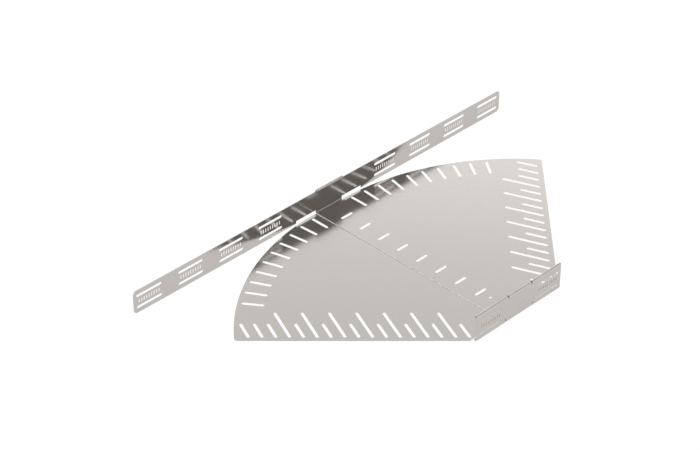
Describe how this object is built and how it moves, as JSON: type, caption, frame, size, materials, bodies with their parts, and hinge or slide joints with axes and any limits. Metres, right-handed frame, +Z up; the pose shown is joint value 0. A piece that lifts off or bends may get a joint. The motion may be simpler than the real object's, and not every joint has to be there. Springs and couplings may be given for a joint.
{
  "type": "cable tray bend",
  "caption": "Flat 90 degree cable tray bend for site bending: folded and slotted centre sheet with a long straight outer side and a short inner side, over two slotted sector floor plates.",
  "frame": {"origin": "on the ground under the floor plates, in the mirror plane, midway between the outer faces of the two sides", "axes": "+X along the two sides, +Y from the inner side of the bend towards the outer side, +Z up"},
  "size_m": [1.198, 0.5958, 0.0693],
  "materials": {
    "centre_sheet": "strip-galvanised sheet, smooth and reflective",
    "left_floor_plate": "strip-galvanised sheet, smooth and reflective",
    "right_floor_plate": "strip-galvanised sheet, smooth and reflective"
  },
  "bodies": {
    "root": {"centre_sheet": "centre_sheet", "left_floor_plate": "left_floor_plate", "right_floor_plate": "right_floor_plate"}
  },
  "joints": []
}
